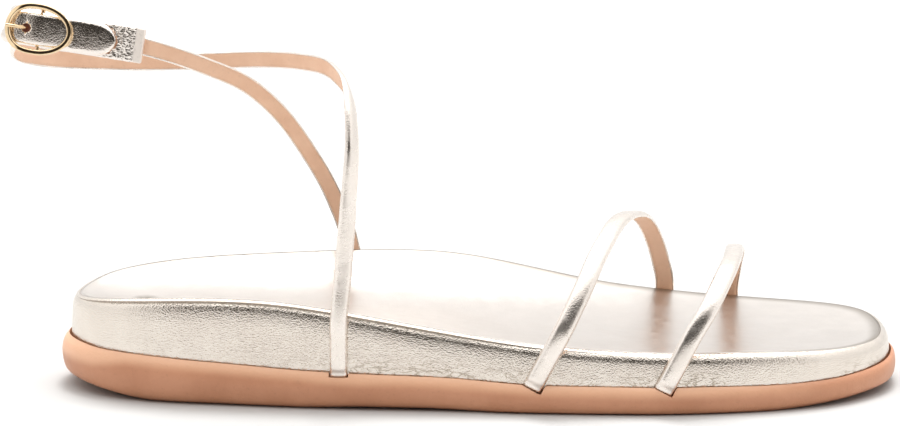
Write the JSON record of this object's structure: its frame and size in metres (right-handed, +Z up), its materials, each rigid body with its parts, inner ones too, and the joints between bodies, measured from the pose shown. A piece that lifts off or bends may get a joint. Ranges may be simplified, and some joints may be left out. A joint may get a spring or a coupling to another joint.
{
  "type": "ankle strap sandal",
  "caption": "Flat ankle strap sandal for the right foot: cupped wrapped footbed on a rounded leather rand, narrow toe straps, crossed ankle straps and an oval centre-bar buckle, fastened.",
  "frame": {"origin": "on the ground, under the middle of the heel seat, at the centre of the heel's flat spot", "axes": "+X from heel to toe, +Y to the medial side, +Z up from the ground"},
  "size_m": [0.2699, 0.0904, 0.121],
  "materials": {
    "rand_leather": "smooth tan leather",
    "metallic_leather": "glossy champagne metallic leather with a fine grain",
    "buckle_metal": "polished pale gold"
  },
  "bodies": {
    "root": {"outsole": "rand_leather", "footbed": "metallic_leather", "insole": "metallic_leather", "toe_strap_rear": "metallic_leather", "toe_strap_front": "metallic_leather", "ankle_strap_lateral": "metallic_leather", "ankle_strap_medial": "metallic_leather", "buckle_tab": "metallic_leather", "buckle_frame": "buckle_metal", "buckle_pin": "buckle_metal"}
  },
  "joints": []
}
